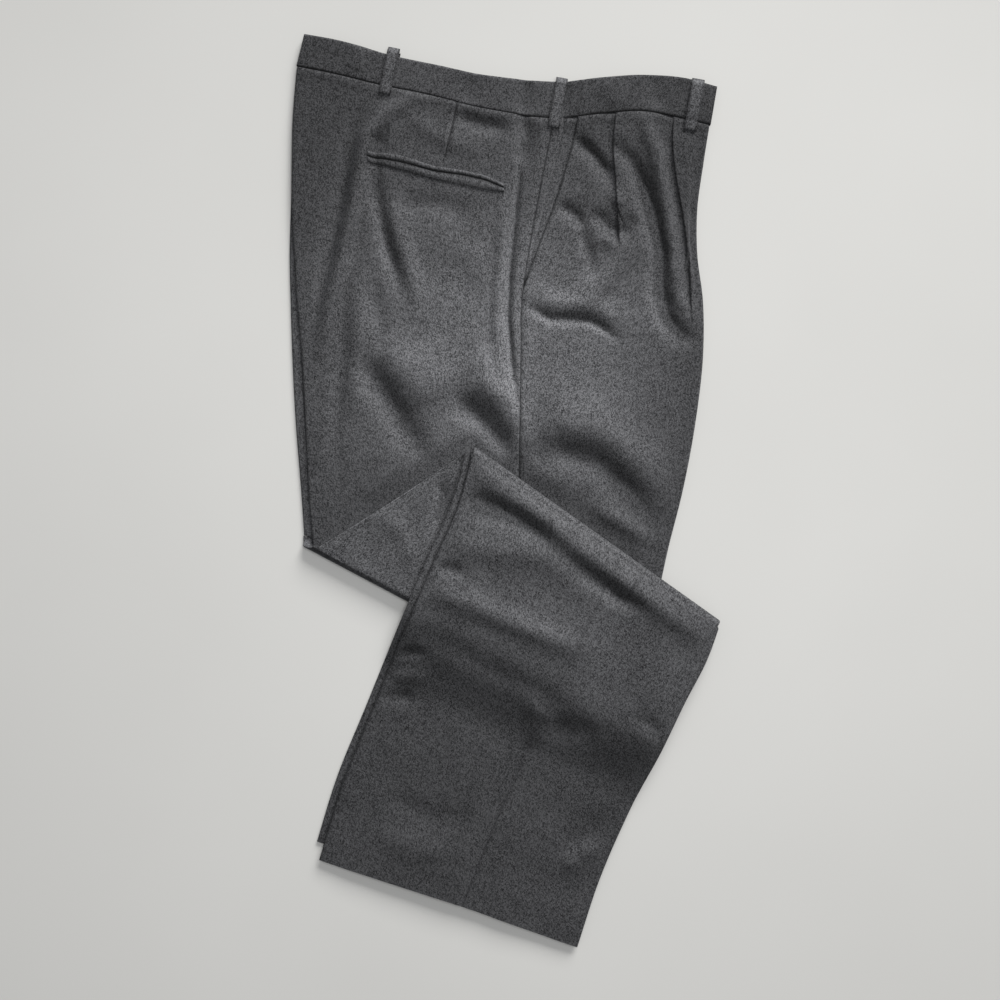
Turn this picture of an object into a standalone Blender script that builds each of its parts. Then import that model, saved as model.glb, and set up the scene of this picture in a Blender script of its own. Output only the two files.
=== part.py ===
"""Pleated dress trousers, pressed and folded flat, lying on their left side.

The waist is at +Y, the front creases are towards +X and the table is at Z = 0. The two legs lie
together as four layers of cloth. They are folded twice, as an accordion: the hips and thighs (A)
lie on the table, the knees (B) are folded back over them along fold 1, and the lower legs (C) are
folded down again along fold 2. Sizes are in millimetres, and become metres when a mesh is made.
"""
import bpy
import bmesh
from collections import namedtuple
from math import cos, sin, pi, hypot

MM = 0.001
CLOTH = 1.2                   # thickness of the wool flannel
GAP = 0.4                     # air between two layers that lie on each other
LAYER = CLOTH + GAP           # one layer of cloth to the next
STACK = 4 * LAYER             # both legs, two layers each
SEAM_GAP = 0.3                # between two pieces along a seam
BAND = 2.0                    # waistband, cloth and interlining
BAND_Z = 5.2                  # middle of the right waistband at its ends
LEFT_BAND_Z = 2.6             # middle of the left waistband, over the left belt loops
HIP_RISE = 2.6                # how far the hips stand up off the layers beneath them
TUCK = 9.0                    # how far a creased edge turns in
ROLL = 0.5 * (2 * STACK - GAP)       # outer radius of a fold of all four layers
DRAPE = 54.0                  # run over which the cloth comes down past an edge beneath it
EDGE_CLEAR = 5.0              # how far past an edge the cloth over it starts to come down
FOLD_LIP = 3.0                # flat cloth of the rolled piece, before it turns round fold 1
LOOP_WIDTH = 11.5
LOOP_THICK = 1.2
WELT_THICK = 1.0
CORE = 1.6                    # thickness of the hidden layers' body
CORE_Z = ROLL - 0.5 * STACK   # its middle, over the bottom of each stack

WOOL = (0.098, 0.100, 0.108, 1.0)
WOOL_DARK = (0.080, 0.082, 0.090, 1.0)

# Waist edge and waist seam, from the centre back to the centre front.
Waist = namedtuple("Waist", "top_x top_y seam_x seam_y")
WAIST = [
    Waist(-199.0, 453.5, -206.8, 422.5),
    Waist(-160.5, 445.5, -166.5, 413.5),
    Waist(-112.5, 431.0, -119.5, 401.5),
    Waist(-64.5, 420.5, -70.5, 391.0),
    Waist(-16.5, 410.5, -20.5, 378.5),
    Waist(47.5, 404.5, 44.5, 369.0),
    Waist(95.5, 408.5, 95.5, 373.5),
    Waist(135.5, 411.5, 136.5, 376.5),
    Waist(175.5, 409.5, 173.5, 370.5),
    Waist(211.5, 401.5, 205.0, 364.0),
]

# Hips and thighs, level by level: the edges, the side seam and the slanted pocket mouth.
Level = namedtuple("Level", "y left_back right_back seam mouth front")
LEVELS = [
    Level(430.0, -206.0, -206.0, 55.0, 76.0, 213.0),
    Level(370.0, -211.5, -211.0, 48.5, 73.0, 205.0),
    Level(325.0, -212.0, -212.0, 40.0, 62.5, 198.0),
    Level(280.0, -213.5, -212.0, 31.5, 48.5, 192.0),
    Level(235.0, -214.5, -209.5, 23.5, 31.5, 192.0),
    Level(190.0, -213.5, -207.0, 17.0, 17.0, 197.5),
    Level(140.0, -212.0, -202.5, 16.0, 16.0, 198.0),
    Level(70.0, -208.5, -198.5, 15.0, 15.0, 190.5),
    Level(0.0, -203.0, -195.0, 14.0, 14.0, 177.5),
    Level(-60.0, -199.0, -190.5, 13.5, 13.5, 162.5),
    Level(-110.0, -196.0, -188.0, 13.0, 13.0, 152.0),
    Level(-232.0, -190.0, -182.0, 12.5, 12.5, 132.5),
]

# Pleats, turned towards the side seam: the line of each fold edge, how deep the cloth is tucked
# in behind it at the waist, and where the tuck ends.
Pleat = namedtuple("Pleat", "line depth end_y")
PLEAT_SIDE = Pleat([(373.0, 110.5), (345.0, 108.0), (303.0, 110.5), (240.0, 112.0),
                    (-120.0, 106.0)], 11.0, 285.0)
PLEAT_MAIN = Pleat([(370.5, 168.5), (350.5, 167.0), (310.5, 170.5), (286.5, 175.5),
                    (254.5, 180.0), (190.0, 184.0), (140.0, 184.5), (70.0, 177.0),
                    (0.0, 164.0), (-120.0, 136.0)], 15.0, 262.0)

# Folds in plan, along the outer edge of the rolled cloth.
FOLD_1 = ((-191.0, -60.5), (132.5, -231.5))
FOLD_2 = ((-30.0, 43.5), (214.3, -129.5))
THIGH_FRONT = ((132.5, -231.5), (177.5, 0.0))
KNEE_FRONT = (FOLD_1[1], FOLD_2[1])
KNEE_BACK = (FOLD_1[0], FOLD_2[0])

# How far the thigh panels run on beneath the folds that cover them.
COVERED = [(-205.0, -44.0), (-190.0, -51.0), (-150.0, -53.0), (-100.0, -20.0), (-32.0, 24.0),
           (20.0, -14.0), (100.0, -72.0), (170.0, -119.0)]

# Lower legs, section by section from fold 2 to the hem.
Cross = namedtuple("Cross", "back_x back_y seam_x seam_y front_x front_y")
LOWER = [
    Cross(-30.0, 43.5, 115.5, -59.5, 214.3, -129.5),
    Cross(-46.0, -16.5, 93.5, -107.5, 199.5, -169.5),
    Cross(-71.5, -74.5, 71.5, -154.5, 178.5, -209.5),
    Cross(-103.5, -149.5, 45.0, -209.0, 155.0, -258.0),
    Cross(-132.0, -219.5, 13.5, -278.0, 123.0, -322.0),
    Cross(-160.5, -289.5, -16.0, -345.0, 95.0, -386.5),
    Cross(-184.5, -367.5, -42.5, -412.5, 72.5, -454.5),
]
LEFT_LEG_OUT = 7.5            # the left leg shows this far past the right one at the back
LEFT_FRONT_IN = 3.0            # it stops this far short of it at the front
LEFT_HEM_SHORT = 13.0         # and its hem lies this far short of the right one
LOWER_LENGTH = 410.0          # from fold 2 to the hem, along the side seam
HEM_DEPTH = 40.0              # how far the inner layers are made up from the hem

# Back pocket mouth between its two welts.
Jet = namedtuple("Jet", "x upper slit lower")
POCKET = [
    Jet(-135.5, 335.5, 330.5, 325.5),
    Jet(-102.5, 331.0, 324.5, 317.0),
    Jet(-69.5, 320.5, 315.5, 307.5),
    Jet(-39.5, 315.5, 311.0, 301.5),
    Jet(-18.5, 310.5, 306.0, 297.0),
    Jet(-0.5, 302.0, 298.5, 294.5),
]

# Belt loops on each side: the middle of the lower end and of the upper end.
Loop = namedtuple("Loop", "place low_x low_y high_x high_y")
LOOPS = [
    Loop("back", -118.5, 393.0, -109.5, 437.5),
    Loop("side", 48.5, 359.5, 57.0, 407.5),
    Loop("front", 184.0, 358.0, 192.5, 407.5),
]


def clamp(value, low=0.0, high=1.0):
    return max(low, min(high, value))


def ease(value):
    t = clamp(value)
    return t * t * (3.0 - 2.0 * t)


def mix(a, b, t):
    return a + (b - a) * t


def mix_point(a, b, t):
    return tuple(mix(p, q, t) for p, q in zip(a, b))


def read_line(pairs, value):
    """Straight-line reading of a table of (position, reading), whichever way it runs."""
    ordered = sorted(pairs)
    if value <= ordered[0][0]:
        return ordered[0][1]
    for (p, a), (q, b) in zip(ordered, ordered[1:]):
        if value <= q:
            return mix(a, b, (value - p) / (q - p))
    return ordered[-1][1]


def level(y, column):
    return read_line([(row.y, getattr(row, column)) for row in LEVELS], y)


def waist_seam(x):
    return read_line([(row.seam_x, row.seam_y) for row in WAIST], x)


def inside(line, x, y):
    """Distance from a line, positive on the left-hand side of its direction."""
    (ax, ay), (bx, by) = line
    length = hypot(bx - ax, by - ay)
    return ((y - ay) * (bx - ax) - (x - ax) * (by - ay)) / length


def over_edge(distance):
    """1 on top of what lies beneath, easing to 0 where the cloth has come down past its edge."""
    return ease(1.0 + (distance + EDGE_CLEAR) / DRAPE)


def knee_base(x, y):
    return STACK * over_edge(inside(THIGH_FRONT, x, y))


def lower_base(x, y):
    past_fold = over_edge(inside(FOLD_1, x, y))
    on_thigh = over_edge(inside(THIGH_FRONT, x, y))
    on_knee = over_edge(inside(KNEE_FRONT, x, y))
    return STACK * past_fold * (on_thigh + on_knee)


def hip_rise(x, y):
    back = level(y, "right_back")
    across = clamp((x - back) / (level(y, "front") - back))
    return HIP_RISE * sin(pi * across) ** 0.7 * ease((y - 60.0) / 120.0)


def panel_z(x, y):
    """Middle of the right-hand outer cloth on the hips and thighs."""
    return 0.5 * CLOTH + 3 * LAYER + hip_rise(x, y)


def band_z(x, y):
    pleated = ease((x - 60.0) / 40.0) * ease((210.0 - x) / 30.0)
    return BAND_Z + hip_rise(x, y) + 0.8 * pleated


def material(name, colour):
    made = bpy.data.materials.new(name)
    made.use_nodes = True
    shader = made.node_tree.nodes["Principled BSDF"]
    shader.inputs["Base Color"].default_value = colour
    shader.inputs["Roughness"].default_value = 0.9
    shader.inputs["Metallic"].default_value = 0.0
    return made


def finish_object(name, mesh_builder, colour, collection):
    mesh = bpy.data.meshes.new(name)
    mesh_builder.to_mesh(mesh)
    mesh_builder.free()
    made = bpy.data.objects.new(name, mesh)
    mesh.materials.append(material(name + "_wool", colour))
    collection.objects.link(made)
    return made


def grid_mesh(rows):
    builder = bmesh.new()
    verts = [[builder.verts.new([MM * value for value in point]) for point in row] for row in rows]
    for upper, lower in zip(verts, verts[1:]):
        for k in range(len(upper) - 1):
            builder.faces.new((upper[k], lower[k], lower[k + 1], upper[k + 1]))
    return builder


def wall(name, rows, collection, colour=WOOL, thickness=CLOTH):
    """A wall of cloth whose middle runs through the rows of points."""
    made = finish_object(name, grid_mesh(rows), colour, collection)
    shell = made.modifiers.new("Cloth", "SOLIDIFY")
    shell.thickness = thickness * MM
    shell.offset = 0.0
    shell.use_even_offset = True
    return made


def level_ground(x, y):
    return 0.0


def turned_edge(edge, along, inward, ground=level_ground):
    """A crease: from the tucked inner layer round to the outer one, seen end on.

    edge is the outermost point at the outer layer's middle, along points into the piece and
    inward points from the outer layer to the inner one. Both follow the ground they lie on.
    """
    radius = 0.5 * LAYER
    centre = 0.5 * CLOTH + radius
    steps = [(TUCK, LAYER)]
    for k in range(5):
        angle = 0.5 * pi - k * 0.25 * pi
        steps.append((centre - radius * cos(angle), radius + radius * sin(angle)))
    start = ground(edge[0], edge[1])
    points = []
    for s, d in steps:
        x, y, z = (e + a * s + n * d for e, a, n in zip(edge, along, inward))
        points.append((x, y, z + ground(x, y) - start))
    return points


DOWN = (0.0, 0.0, -1.0)
UP = (0.0, 0.0, 1.0)
RIGHTWARD = (1.0, 0.0, 0.0)
LEFTWARD = (-1.0, 0.0, 0.0)


def spread(count, first=0.0, last=1.0):
    return [mix(first, last, k / (count - 1)) for k in range(count)]


def panel_xy(u, t, left, right, end_y, from_left=0.0, from_right=0.0):
    """Place on a hip panel: u across between two columns of LEVELS, t down from the waist."""
    x = mix(level(370.0, left), level(370.0, right), u)
    y = 0.0
    for _ in range(8):
        y = mix(waist_seam(x) - SEAM_GAP, end_y(x), t)
        x = mix(level(y, left) + from_left, level(y, right) - from_right, u)
    return x, y


def waist_share(x, left, right):
    """Where a corner of the waist seam comes, as a share of a panel's width."""
    y = waist_seam(x) - SEAM_GAP
    return (x - level(y, left)) / (level(y, right) - level(y, left))


def covered_end(x):
    return read_line(COVERED, x)


def fold_1_start(x):
    """Where the underside reaches the roll of fold 1."""
    (ax, ay), (bx, by) = FOLD_1
    slope = (by - ay) / (bx - ax)
    return ay + slope * (x - ax) + (ROLL + FOLD_LIP + SEAM_GAP) * hypot(1.0, slope)


def right_back_upper(collection):
    corners = [waist_share(row.seam_x, "right_back", "seam") for row in WAIST[1:6]]
    columns = sorted([0.02, 0.32, 0.55, 0.87, 1.0] + corners)
    rows = []
    for t in spread(12):
        row = []
        for u in columns:
            x, y = panel_xy(u, t, "right_back", "seam", covered_end, from_right=0.5 * SEAM_GAP)
            row.append((x, y, panel_z(x, y)))
        y_edge = row[0][1] - 2.0 * (1.0 - t)
        x_edge = level(y_edge, "right_back")
        edge = (x_edge, y_edge, panel_z(x_edge, y_edge))
        rows.append(turned_edge(edge, RIGHTWARD, DOWN) + row)
    wall("right_back_upper", rows, collection)


def pleat_section(pleat, t, y, room):
    """Points across one pleat, from its side-seam side to its front side.

    The cloth from the side seam runs in under the fold edge, turns back towards it, and comes
    round the edge to run on over itself to the front."""
    x = read_line(pleat.line, y)
    top = pleat.line[0][0]
    depth = pleat.depth * clamp((y - pleat.end_y) / (top - pleat.end_y))
    half = 0.5 * LAYER
    if y <= pleat.end_y:
        steps = [(-14, 0), (-3, 0), (-1, 0), (0, 0), (1, 0), (2, 0), (2.5, 0), (3, 0),
                 (3.5, 0), (room, 0)]
    else:
        d = 3.0 + depth
        steps = [(-14, 0), (-2, -LAYER), (d - half, -LAYER), (d, -half), (d - half, 0),
                 (half, 0), (0, half), (half, LAYER), (min(d + 2, room - 3), LAYER), (room, 0)]
    points = []
    for s, z in steps:
        own_y = mix(waist_seam(x + s) - SEAM_GAP, covered_end(x + s), t)
        points.append((x + s, own_y, panel_z(x, y) + z))
    return points


def right_front_upper(collection):
    rows = []
    for t in spread(15):
        def place(u):
            return panel_xy(u, t, "mouth", "front", covered_end, from_left=1.5 * SEAM_GAP)
        near_side = [place(u) for u in (0.0, 0.1)]
        side_y = place(0.35)[1]
        main_y = place(0.8)[1]
        edge_x, edge_y = place(1.0)
        room = level(main_y, "front") - read_line(PLEAT_MAIN.line, main_y) - 5.0
        row = [(x, y, panel_z(x, y)) for x, y in near_side]
        row += pleat_section(PLEAT_SIDE, t, side_y, 26.0)
        row += pleat_section(PLEAT_MAIN, t, main_y, max(room, 4.5))
        edge = (edge_x, edge_y, panel_z(edge_x, edge_y))
        row += turned_edge(edge, LEFTWARD, DOWN)[::-1]
        rows.append(row)
    wall("right_front_upper", rows, collection)


def pocket_facing(collection):
    """The back of the slanted pocket, seen between the side seam and the pocket mouth."""
    rows = []
    for y in spread(7, 365.0, 212.0):
        seam = level(y, "seam") + 0.5 * SEAM_GAP
        mouth = level(y, "mouth")
        dip = LAYER + 0.6
        places = [(seam, 0.0), (mix(seam, mouth, 0.35), -0.3 * dip), (mouth - 2.5, -dip),
                  (mouth + 12.0, -dip)]
        rows.append([(x, y, panel_z(x, y) + z) for x, z in places])
    wall("right_pocket_facing", rows, collection, WOOL_DARK)


def pocket_welts(collection):
    lift = 0.5 * CLOTH + SEAM_GAP + 0.5 * WELT_THICK
    edges = {"upper": (lambda jet: jet.upper, lambda jet: jet.slit + 0.5),
             "lower": (lambda jet: jet.slit - 0.5, lambda jet: jet.lower)}
    for place, (high, low) in edges.items():
        rows = [[(jet.x, y, panel_z(jet.x, y) + lift) for y in (high(jet), low(jet))]
                for jet in POCKET]
        wall("back_pocket_%s_welt" % place, rows, collection, WOOL_DARK, WELT_THICK)


def waistband_rows(height, edge_in):
    rows = []
    for row in WAIST:
        top = (row.top_x, row.top_y)
        seam = (row.seam_x, row.seam_y)
        points = [mix_point(top, seam, t) for t in (edge_in, 0.5, 1.0)]
        rows.append([(x, y, height(x, y)) for x, y in points])
    return rows


def waistbands(collection):
    wall("right_waistband", waistband_rows(band_z, 0.0), collection, WOOL, BAND)
    wall("left_waistband", waistband_rows(lambda x, y: LEFT_BAND_Z, 0.02), collection, WOOL, BAND)


def strap(name, loop, heights, collection):
    """A belt loop: a flat strap whose middle follows the heights from its lower end up."""
    along = (loop.high_x - loop.low_x, loop.high_y - loop.low_y)
    length = hypot(*along)
    across = (along[1] / length * LOOP_WIDTH * 0.5, -along[0] / length * LOOP_WIDTH * 0.5)
    rows = []
    for t, z in heights:
        x = mix(loop.low_x, loop.high_x, t)
        y = mix(loop.low_y, loop.high_y, t)
        rows.append([(x - across[0], y - across[1], z), (x + across[0], y + across[1], z)])
    wall(name, rows, collection, WOOL, LOOP_THICK)


def belt_loops(collection):
    lift = 0.5 * BAND + SEAM_GAP + 0.5 * LOOP_THICK + 0.8
    for loop in LOOPS:
        on_panel = panel_z(loop.low_x, loop.low_y) + CLOTH + LAYER + 2 * SEAM_GAP
        on_band = band_z(loop.high_x, loop.high_y) + lift
        low = max(on_panel, on_band)
        heights = [(0.0, low), (0.2, low + 0.2), (0.5, low + 0.4), (0.8, on_band + 0.3),
                   (0.92, on_band), (1.0, on_band - 1.2)]
        strap("right_belt_loop_" + loop.place, loop, heights, collection)
        strap("left_belt_loop_" + loop.place, loop._replace(
            low_x=mix(loop.low_x, loop.high_x, 0.28), low_y=mix(loop.low_y, loop.high_y, 0.28)),
            [(0.0, 0.5 * LOOP_THICK), (0.5, 0.5 * LOOP_THICK), (1.0, 0.5 * LOOP_THICK)],
            collection)


def left_upper(collection):
    """The two panels of the left leg that lie on the table."""
    z = 0.5 * CLOTH
    rows = []
    front_rows = []
    for t in spread(10):
        back = [panel_xy(u, t, "left_back", "seam", fold_1_start, from_right=0.5 * SEAM_GAP)
                for u in spread(6, 0.03, 1.0)]
        edge = panel_xy(0.0, t, "left_back", "seam", fold_1_start)
        edge = (edge[0], edge[1] - 2.0 * (1.0 - t), z)
        rows.append(turned_edge(edge, RIGHTWARD, UP) + [(x, y, z) for x, y in back])
        front = [panel_xy(u, t, "seam", "front", fold_1_start, from_left=0.5 * SEAM_GAP)
                 for u in spread(5, 0.0, 0.95)]
        edge = panel_xy(1.0, t, "seam", "front", fold_1_start)
        edge = (edge[0] - 1.5, edge[1] + 5.0 * t, z)
        front_rows.append([(x, y, z) for x, y in front] + turned_edge(edge, LEFTWARD, UP)[::-1])
    wall("left_back_upper", rows, collection)
    wall("left_front_upper", front_rows, collection)


def unit(a, b):
    length = hypot(b[0] - a[0], b[1] - a[1])
    return ((b[0] - a[0]) / length, (b[1] - a[1]) / length)


def roll_steps(lip, count=9):
    """Round a fold, in its own section: (distance in from the edge, height, inward normal)."""
    radius = ROLL - 0.5 * CLOTH
    steps = [(ROLL + lip, -radius, (0.0, 1.0))]
    for k in range(count):
        angle = -0.5 * pi + pi * k / (count - 1)
        steps.append((ROLL - radius * cos(angle), radius * sin(angle), (cos(angle), -sin(angle))))
    return steps


def fold_1_cloth(collection):
    """The left leg's outer cloth, round fold 1 and on to the top of the knee section."""
    along_fold = unit(*FOLD_1)
    to_knee = (-along_fold[1], along_fold[0])
    length = hypot(FOLD_1[1][0] - FOLD_1[0][0], FOLD_1[1][1] - FOLD_1[0][1])
    seam_at = (12.5 - FOLD_1[0][0]) / along_fold[0]
    top_z = 2 * ROLL - 0.5 * CLOTH
    lean = unit(*KNEE_BACK)
    parts = (("left_back_fold", -9.0, seam_at - SEAM_GAP, True),
             ("left_front_fold", seam_at, length - 8.0, False))
    for name, start, stop, shows in parts:
        rows = []
        for inset, z, (flat, rise) in roll_steps(FOLD_LIP):
            row = []
            for s in spread(7, start + (2.0 if shows else 0.0), stop):
                x = FOLD_1[0][0] + along_fold[0] * s + to_knee[0] * inset
                y = FOLD_1[0][1] + along_fold[1] * s + to_knee[1] * inset
                row.append((x, y, ROLL + z))
            if shows:
                edge = (row[0][0] - 2.0 * along_fold[0], row[0][1] - 2.0 * along_fold[1], row[0][2])
                inward = (to_knee[0] * flat, to_knee[1] * flat, rise)
                row = turned_edge(edge, along_fold + (0.0,), inward) + row
            rows.append(row)
        if shows:
            reach = hypot(KNEE_BACK[1][0] - KNEE_BACK[0][0], KNEE_BACK[1][1] - KNEE_BACK[0][1])
            for t in (0.12, 0.24, 0.4, 0.56, 0.72, 0.84, 0.93):
                left = mix_point(KNEE_BACK[0], KNEE_BACK[1], t)
                right = mix_point((-60.0, -118.0), (-12.0, 22.0), t)
                across = unit(left, right)
                row = [mix_point(left, right, u) + (top_z,) for u in spread(7, 0.06, 1.0)]
                rows.append(turned_edge(left + (top_z,), across + (0.0,), DOWN) + row)
        else:
            end = [(x + lean[0] * 10.0, y + lean[1] * 10.0, top_z) for x, y, _ in rows[-1]]
            rows.append(end)
        wall(name, rows, collection)


def lower_section(v):
    """One section of the lower legs, at a share v of the way from fold 2 to the hem."""
    place = clamp(v) * (len(LOWER) - 1)
    k = min(int(place), len(LOWER) - 2)
    return Cross(*mix_point(LOWER[k], LOWER[k + 1], place - k))


LOWER_SHARES = (0.05, 0.12, 0.2, 0.28, 0.35, 0.405, 0.455, 0.505, 0.57, 0.65, 0.75, 0.87, 1.0)
ACROSS = (0.0, 0.03, 0.2, 0.4, 0.6, 0.8, 1.0)     # columns across a lower panel, from its crease


def lower_line(cross, side, u, out=0.0):
    """A point across the back panel or the front panel of the lower leg."""
    seam = (cross.seam_x, cross.seam_y)
    if side == "back":
        edge = (cross.back_x, cross.back_y)
    else:
        edge = (cross.front_x, cross.front_y)
    towards = unit(edge, seam)
    start = (edge[0] - towards[0] * out, edge[1] - towards[1] * out)
    stop = (seam[0] - towards[0] * 0.5 * SEAM_GAP, seam[1] - towards[1] * 0.5 * SEAM_GAP)
    return mix_point(start, stop, u), towards + (0.0,)


def right_lower(collection):
    """The right leg's outer cloth, round fold 2 and down to the hem."""
    along_fold = unit(*FOLD_2)
    to_leg = (along_fold[1], -along_fold[0])
    outer = 0.5 * CLOTH + 3 * LAYER
    for side in ("back", "front"):
        rows = []
        for inset, z, (flat, rise) in roll_steps(12.0):
            row = []
            for u in ACROSS:
                (x, y), towards = lower_line(LOWER[0], side, u)
                x += to_leg[0] * inset
                y += to_leg[1] * inset
                row.append((x, y, knee_base(x, y) + ROLL + z))
            inward = (to_leg[0] * flat, to_leg[1] * flat, rise)
            rows.append(turned_edge(row[0], towards, inward, knee_base) + row[1:])
        for v in LOWER_SHARES:
            row = []
            for u in ACROSS:
                (x, y), towards = lower_line(lower_section(v), side, u)
                row.append((x, y, lower_base(x, y) + outer))
            rows.append(turned_edge(row[0], towards, DOWN, lower_base) + row[1:])
        wall("right_%s_lower" % side, rows, collection)


def shortened(v):
    """The share of the length at which the left leg's section lies."""
    return min(v, 1.0 - LEFT_HEM_SHORT / LOWER_LENGTH)


def left_lower(collection):
    """The left leg's outer cloth, beneath the lower leg: a strip at the back, whole past fold 1."""
    z_under = 0.5 * CLOTH
    for side in ("back", "front"):
        rows = []
        for v in LOWER_SHARES:
            if side == "front" and v < 0.2:
                continue
            reach = mix(0.16, 1.0, clamp((v - 0.44) / 0.13)) if side == "back" else 1.0
            out = LEFT_LEG_OUT if side == "back" else -LEFT_FRONT_IN
            row = []
            for u in (0.0,) + tuple(mix(0.03, reach, share) for share in spread(6)):
                (x, y), towards = lower_line(lower_section(shortened(v)), side, u, out)
                row.append((x, y, lower_base(x, y) + z_under))
            rows.append(turned_edge(row[0], towards, UP, lower_base) + row[1:])
        wall("left_%s_lower" % side, rows, collection)


def hem_layers(collection):
    """The inner layers of both legs, made up where the open hems show them."""
    depth = HEM_DEPTH / LOWER_LENGTH
    left_end = 1.0 - LEFT_HEM_SHORT / LOWER_LENGTH
    layers = (("right_leg_inner_hem", 2.5 * LAYER - 0.2, 1.0),
              ("left_leg_inner_hem", LAYER + 0.5 * CLOTH, left_end))
    for name, z, end in layers:
        rows = []
        for v in spread(3, end - depth, end - 0.002):
            cross = lower_section(v)
            back = lower_line(cross, "back", 0.0)[0]
            front = lower_line(cross, "front", 0.0)[0]
            across = unit(back, front)
            width = hypot(front[0] - back[0], front[1] - back[1])
            first = TUCK + 1.5
            last = width - TUCK - 4.0
            rows.append([(back[0] + across[0] * s, back[1] + across[1] * s, z)
                         for s in spread(9, first, last)])
        wall(name, rows, collection, WOOL_DARK)


def fold_round(fold, to_side, base, columns, radius):
    """Rows round a fold, from the lower level to the upper one, at shares along its length."""
    rows = []
    for k in range(7):
        angle = -0.5 * pi + pi * k / 6
        row = []
        for u in columns:
            x, y = mix_point(*fold, u)
            x += to_side[0] * (ROLL - radius * cos(angle))
            y += to_side[1] * (ROLL - radius * cos(angle))
            row.append((x, y, base(x, y) + ROLL + radius * sin(angle)))
        rows.append(row)
    return rows


def hidden_layers(collection):
    """The layers that nobody sees, as one thick folded body inside the outer cloth."""
    along_1 = unit(*FOLD_1)
    along_2 = unit(*FOLD_2)
    to_knee = (-along_1[1], along_1[0])
    to_leg = (along_2[1], -along_2[0])
    columns = spread(9, 0.06, 0.94)
    rows = []
    for t in spread(9, 0.03, 0.97):
        places = [panel_xy(u, t, "right_back", "front", fold_1_start) for u in columns]
        rows.append([(x, y, CORE_Z) for x, y in places])
    rows += fold_round(FOLD_1, to_knee, lambda x, y: 0.0, columns, 0.5 * STACK)
    for v in spread(5, 0.15, 0.85):
        row = []
        for u in columns:
            x, y = mix_point(mix_point(*FOLD_1, u), mix_point(*FOLD_2, u), v)
            row.append((x, y, knee_base(x, y) + CORE_Z))
        rows.append(row)
    rows += fold_round(FOLD_2, to_leg, knee_base, columns, 0.5 * STACK)
    for v in LOWER_SHARES[:-1]:
        cross = lower_section(v)
        places = [lower_line(cross, "back", u)[0] for u in (0.1, 0.4, 0.6, 0.8)]
        places += [lower_line(cross, "front", u)[0] for u in (1.0, 0.8, 0.6, 0.4, 0.2)]
        rows.append([(x, y, lower_base(x, y) + CORE_Z) for x, y in places])
    wall("hidden_layers", rows, collection, WOOL_DARK, CORE)


def main():
    for old in list(bpy.data.objects):
        bpy.data.objects.remove(old, do_unlink=True)
    trousers = bpy.data.collections.new("pleated_dress_trousers")
    bpy.context.scene.collection.children.link(trousers)
    waistbands(trousers)
    belt_loops(trousers)
    right_back_upper(trousers)
    right_front_upper(trousers)
    pocket_facing(trousers)
    pocket_welts(trousers)
    left_upper(trousers)
    fold_1_cloth(trousers)
    right_lower(trousers)
    left_lower(trousers)
    hem_layers(trousers)
    hidden_layers(trousers)


main()
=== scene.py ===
import bpy
import numpy as np
from math import pi, radians
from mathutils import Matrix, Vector


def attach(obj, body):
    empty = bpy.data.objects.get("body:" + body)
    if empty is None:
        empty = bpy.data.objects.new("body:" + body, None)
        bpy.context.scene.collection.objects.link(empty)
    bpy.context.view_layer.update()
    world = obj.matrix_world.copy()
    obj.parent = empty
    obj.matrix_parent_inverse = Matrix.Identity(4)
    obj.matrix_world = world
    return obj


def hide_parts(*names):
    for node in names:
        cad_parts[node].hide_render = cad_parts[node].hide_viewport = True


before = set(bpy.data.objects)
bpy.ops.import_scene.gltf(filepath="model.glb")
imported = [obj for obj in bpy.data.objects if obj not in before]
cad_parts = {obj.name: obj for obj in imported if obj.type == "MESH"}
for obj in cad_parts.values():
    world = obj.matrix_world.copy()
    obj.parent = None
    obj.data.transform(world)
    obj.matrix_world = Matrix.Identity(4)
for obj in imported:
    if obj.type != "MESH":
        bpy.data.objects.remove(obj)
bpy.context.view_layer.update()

# Pleated dress trousers in grey wool flannel, folded flat on their left side.
# +Y runs to the waist, +X to the front creases, +Z up. Sizes are in millimetres until a mesh is
# made. A is the hips and thighs on the table, B the knees folded back over them along fold 1,
# and C the lower legs folded down again along fold 2.
MM = 0.001
CLOTH = 1.2                  # flannel
LAYER = 1.6                  # one layer to the next
STACK = 4 * LAYER            # both legs
BAND = 2.0                   # waistband with its interlining
ROLL = 0.5 * (2 * STACK - 0.4)       # outer radius of a fold of all the layers
TUCK = 9.0                   # how far a creased edge turns in
HIP_RISE = 2.6               # loose cloth over the hips
DRAPE = 74.0                 # run over which cloth comes down past an edge under it
EDGE_CLEAR = 5.0
SEAM_GAP = 0.3
FOLD_LIP = 3.0
OUTER_Z = 0.5 * CLOTH + 3 * LAYER    # middle of the top layer over the bottom of its stack

FOLD_1 = np.array([(-191.0, -60.5), (132.5, -231.5)])
FOLD_2 = np.array([(-30.0, 43.5), (214.3, -129.5)])
THIGH_FRONT = np.array([(132.5, -231.5), (177.5, 0.0)])
KNEE_FRONT = np.array([FOLD_1[1], FOLD_2[1]])
KNEE_BACK = np.array([FOLD_1[0], FOLD_2[0]])

# Waist edge and waist seam from the centre back to the centre front: top x y, seam x y.
WAIST = np.array([
    (-199.0, 453.5, -206.8, 422.5),
    (-160.5, 445.5, -166.5, 413.5),
    (-112.5, 431.0, -119.5, 401.5),
    (-64.5, 420.5, -70.5, 391.0),
    (-16.5, 410.5, -20.5, 378.5),
    (47.5, 404.5, 44.5, 369.0),
    (95.5, 408.5, 95.5, 373.5),
    (135.5, 411.5, 136.5, 376.5),
    (175.5, 409.5, 173.5, 370.5),
    (211.5, 401.5, 205.0, 364.0),
])
TOP_X, TOP_Y, SEAM_X, SEAM_Y = range(4)

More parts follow.
